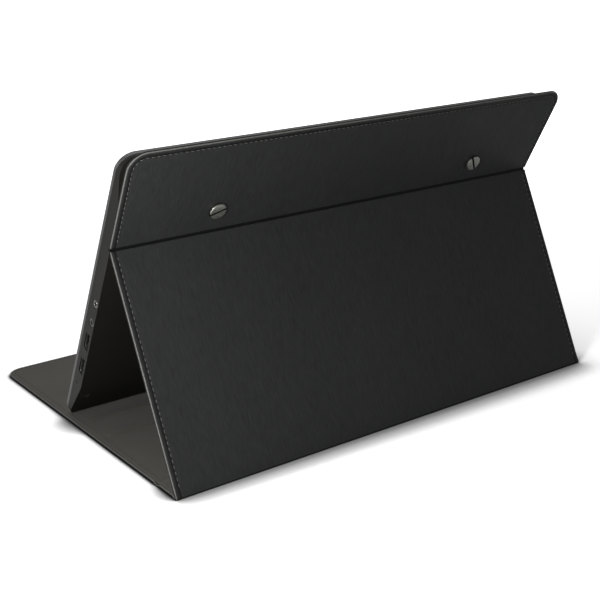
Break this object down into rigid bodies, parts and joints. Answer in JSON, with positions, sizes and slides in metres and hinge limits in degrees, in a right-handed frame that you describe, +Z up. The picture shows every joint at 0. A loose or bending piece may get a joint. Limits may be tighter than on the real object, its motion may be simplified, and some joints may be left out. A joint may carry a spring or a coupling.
{
  "type": "portable monitor with cover",
  "caption": "Slim portable monitor screwed to a folding leather cover that stands it at a slant, with sockets and buttons in its side walls.",
  "frame": {"origin": "middle of the base: the table under the cover, halfway along its width and depth", "axes": "+X across towards the sockets, +Y to the back fold, +Z up; the screen faces -Y"},
  "size_m": [0.386, 0.2904, 0.2227],
  "materials": {
    "cover_leather": "fine vertical grain, charcoal",
    "cover_lining": "napped microfibre, warm grey",
    "stiffener_board": "grey pulp board",
    "stand_ridge": "lining over a cord",
    "magnet_metal": "nickel plated",
    "screw_metal": "satin grey",
    "insert_brass": "turned",
    "housing_plastic": "fine texture, dark grey",
    "bezel_plastic": "fine texture, black",
    "foot_rubber": "matte black",
    "screen_glass": "anti-glare, switched off",
    "film_white": "translucent white",
    "chassis_metal": "pressed sheet",
    "circuit_board": "green solder mask",
    "chip_plastic": "moulded black",
    "flat_cable": "polyester ribbon",
    "socket_metal": "plated shell",
    "socket_plastic": "moulded black",
    "lens_plastic": "smoked",
    "button_plastic": "fine texture, black"
  },
  "bodies": {
    "front_panel": {"front_skin": "cover_leather", "front_board": "stiffener_board", "front_lining": "cover_lining", "stop_ridges": "stand_ridge", "closure_magnets": "magnet_metal"},
    "spine": {"spine_skin": "cover_leather", "spine_board": "stiffener_board", "spine_lining": "cover_lining"},
    "back_panel": {"back_skin": "cover_leather", "back_board": "stiffener_board", "back_lining": "cover_lining"},
    "monitor": {"flap_skin": "cover_leather", "flap_board": "stiffener_board", "flap_lining": "cover_lining", "flap_eyelets": "screw_metal", "cover_screws": "screw_metal", "rear_housing": "housing_plastic", "thread_inserts": "insert_brass", "front_bezel": "bezel_plastic", "foot_strip": "foot_rubber", "housing_screws": "screw_metal", "lcd_cell": "screen_glass", "optical_films": "film_white", "light_guide": "film_white", "reflector_sheet": "film_white", "led_strip": "circuit_board", "panel_chassis": "chassis_metal", "panel_brackets": "chassis_metal", "bracket_screws": "screw_metal", "timing_board": "circuit_board", "panel_cable": "flat_cable", "main_board": "circuit_board", "processor_chip": "chip_plastic", "heat_spreader": "chassis_metal", "board_screws": "screw_metal", "upper_video_socket": "socket_metal", "lower_video_socket": "socket_metal", "power_socket": "socket_plastic", "headphone_socket": "socket_plastic", "status_lens": "lens_plastic", "key_board": "circuit_board", "key_switches": "chip_plastic", "key_cable": "flat_cable"},
    "power_button": {"power_button": "button_plastic"},
    "plus_button": {"plus_button": "button_plastic"},
    "minus_button": {"minus_button": "button_plastic"}
  },
  "joints": [
    {"name": "spine_fold", "type": "hinge", "parent": "front_panel", "child": "spine", "pos_m": [0, 0.1182, 0], "axis": [1, 0, 0], "range_deg": [0, 88.5]},
    {"name": "back_fold", "type": "hinge", "parent": "spine", "child": "back_panel", "pos_m": [0, 0.1452, 0], "axis": [-1, 0, 0], "range_deg": [0, 112]},
    {"name": "crease_fold", "type": "hinge", "parent": "back_panel", "child": "monitor", "pos_m": [0, 0.07685, 0.15424], "axis": [1, 0, 0], "range_deg": [0, 52.8]},
    {"name": "power_press", "type": "slide", "parent": "monitor", "child": "power_button", "axis": [1, 0, 0], "range_m": [0, 0.0006], "stiffness_N_per_m": 2000, "springref_m": -0.0002},
    {"name": "plus_press", "type": "slide", "parent": "monitor", "child": "plus_button", "axis": [1, 0, 0], "range_m": [0, 0.0006], "stiffness_N_per_m": 2000, "springref_m": -0.0002},
    {"name": "minus_press", "type": "slide", "parent": "monitor", "child": "minus_button", "axis": [1, 0, 0], "range_m": [0, 0.0006], "stiffness_N_per_m": 2000, "springref_m": -0.0002}
  ],
  "couplings": [
    {"joint": "spine_fold", "follows": "back_fold", "ratio": 0.79016},
    {"joint": "crease_fold", "follows": "back_fold", "ratio": 0.47141}
  ]
}
